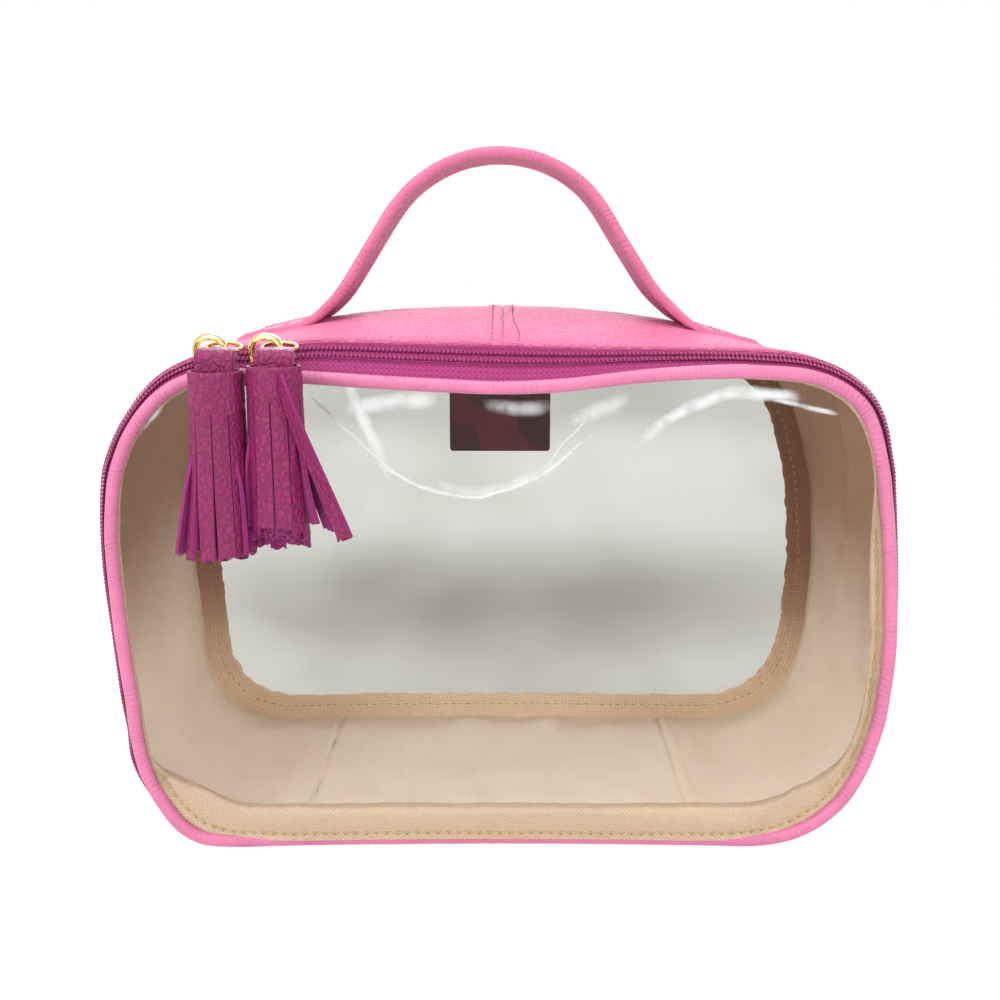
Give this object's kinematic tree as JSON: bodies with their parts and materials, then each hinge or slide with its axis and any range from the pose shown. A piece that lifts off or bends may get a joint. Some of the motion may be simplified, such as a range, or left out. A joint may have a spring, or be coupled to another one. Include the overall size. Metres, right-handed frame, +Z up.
{
  "type": "makeup train case",
  "caption": "Soft leather makeup case with clear front and back windows, a zip-round front that folds down as a lid, a padded strap handle and tassel zip pulls.",
  "frame": {"origin": "middle of the base, on the face of the leather band that the case stands on, halfway between the front and back piping", "axes": "+X to the right across the front, +Y to the back, +Z up"},
  "size_m": [0.239, 0.1205, 0.214],
  "materials": {
    "pink_leather": "pebbled, semi-matt",
    "pink_piping": "smooth, satin",
    "stiffener": "plain non-woven",
    "lining_cloth": "plain fine weave",
    "bias_binding": "plain bias tape",
    "clear_window": "clear, glossy",
    "cotton_cord": "twisted cord",
    "label_leather": "pebbled",
    "zipper_tape": "knitted tape",
    "zipper_coil": "coil",
    "gold_metal": "polished gold plate",
    "tassel_leather": "pebbled"
  },
  "bodies": {
    "case": {"gusset_left": "pink_leather", "gusset_right": "pink_leather", "stiffener": "stiffener", "lining_left": "lining_cloth", "lining_right": "lining_cloth", "lining_top": "lining_cloth", "lining_floor": "lining_cloth", "back_window": "clear_window", "back_piping": "pink_piping", "back_piping_cord": "cotton_cord", "back_binding": "bias_binding", "label_patch": "label_leather", "hinge_strip": "pink_leather", "zipper_tape_case": "zipper_tape", "zipper_coil_case": "zipper_coil", "handle_tab_left": "pink_leather", "handle_tab_right": "pink_leather"},
    "lid": {"front_window": "clear_window", "front_piping": "pink_piping", "front_piping_cord": "cotton_cord", "front_binding": "bias_binding", "zipper_tape_lid": "zipper_tape", "zipper_coil_lid": "zipper_coil", "slider_left": "gold_metal", "slider_arch_left": "gold_metal"},
    "zip_slider_right": {"slider_right": "gold_metal", "slider_arch_right": "gold_metal"},
    "pull_ring_left": {"jump_ring_left": "gold_metal"},
    "pull_ring_right": {"jump_ring_right": "gold_metal"},
    "tassel_left": {"tassel_tab_left": "tassel_leather", "tassel_wrap_left": "tassel_leather", "tassel_fringe_left": "tassel_leather", "tassel_core_left": "tassel_leather"},
    "tassel_right": {"tassel_tab_right": "tassel_leather", "tassel_wrap_right": "tassel_leather", "tassel_fringe_right": "tassel_leather", "tassel_core_right": "tassel_leather"},
    "handle": {"handle_strap": "pink_leather", "handle_cord_front": "cotton_cord", "handle_cord_back": "cotton_cord"}
  },
  "joints": [
    {"name": "lid_hinge", "type": "hinge", "parent": "case", "child": "lid", "pos_m": [0, -0.05, 0.003], "axis": [1, 0, 0], "range_deg": [0, 78]},
    {"name": "zip_right_slide", "type": "slide", "parent": "lid", "child": "zip_slider_right", "axis": [1, 0, 0], "range_m": [0, 0.146]},
    {"name": "ring_left_lift", "type": "hinge", "parent": "lid", "child": "pull_ring_left", "pos_m": [-0.0835, -0.04307, 0.15769], "axis": [-1, 0, 0], "range_deg": [0, 20]},
    {"name": "ring_right_lift", "type": "hinge", "parent": "zip_slider_right", "child": "pull_ring_right", "pos_m": [-0.0675, -0.04307, 0.15769], "axis": [-1, 0, 0], "range_deg": [0, 20]},
    {"name": "tassel_left_swing", "type": "hinge", "parent": "pull_ring_left", "child": "tassel_left", "pos_m": [-0.07917, -0.04966, 0.15379], "axis": [-1, 0, 0], "range_deg": [0, 45]},
    {"name": "tassel_right_swing", "type": "hinge", "parent": "pull_ring_right", "child": "tassel_right", "pos_m": [-0.06317, -0.04966, 0.15379], "axis": [-1, 0, 0], "range_deg": [0, 45]},
    {"name": "handle_tilt", "type": "hinge", "parent": "case", "child": "handle", "pos_m": [0, 0, 0.1605], "axis": [1, 0, 0], "range_deg": [-25, 25], "stiffness_Nm_per_rad": 0.02}
  ]
}
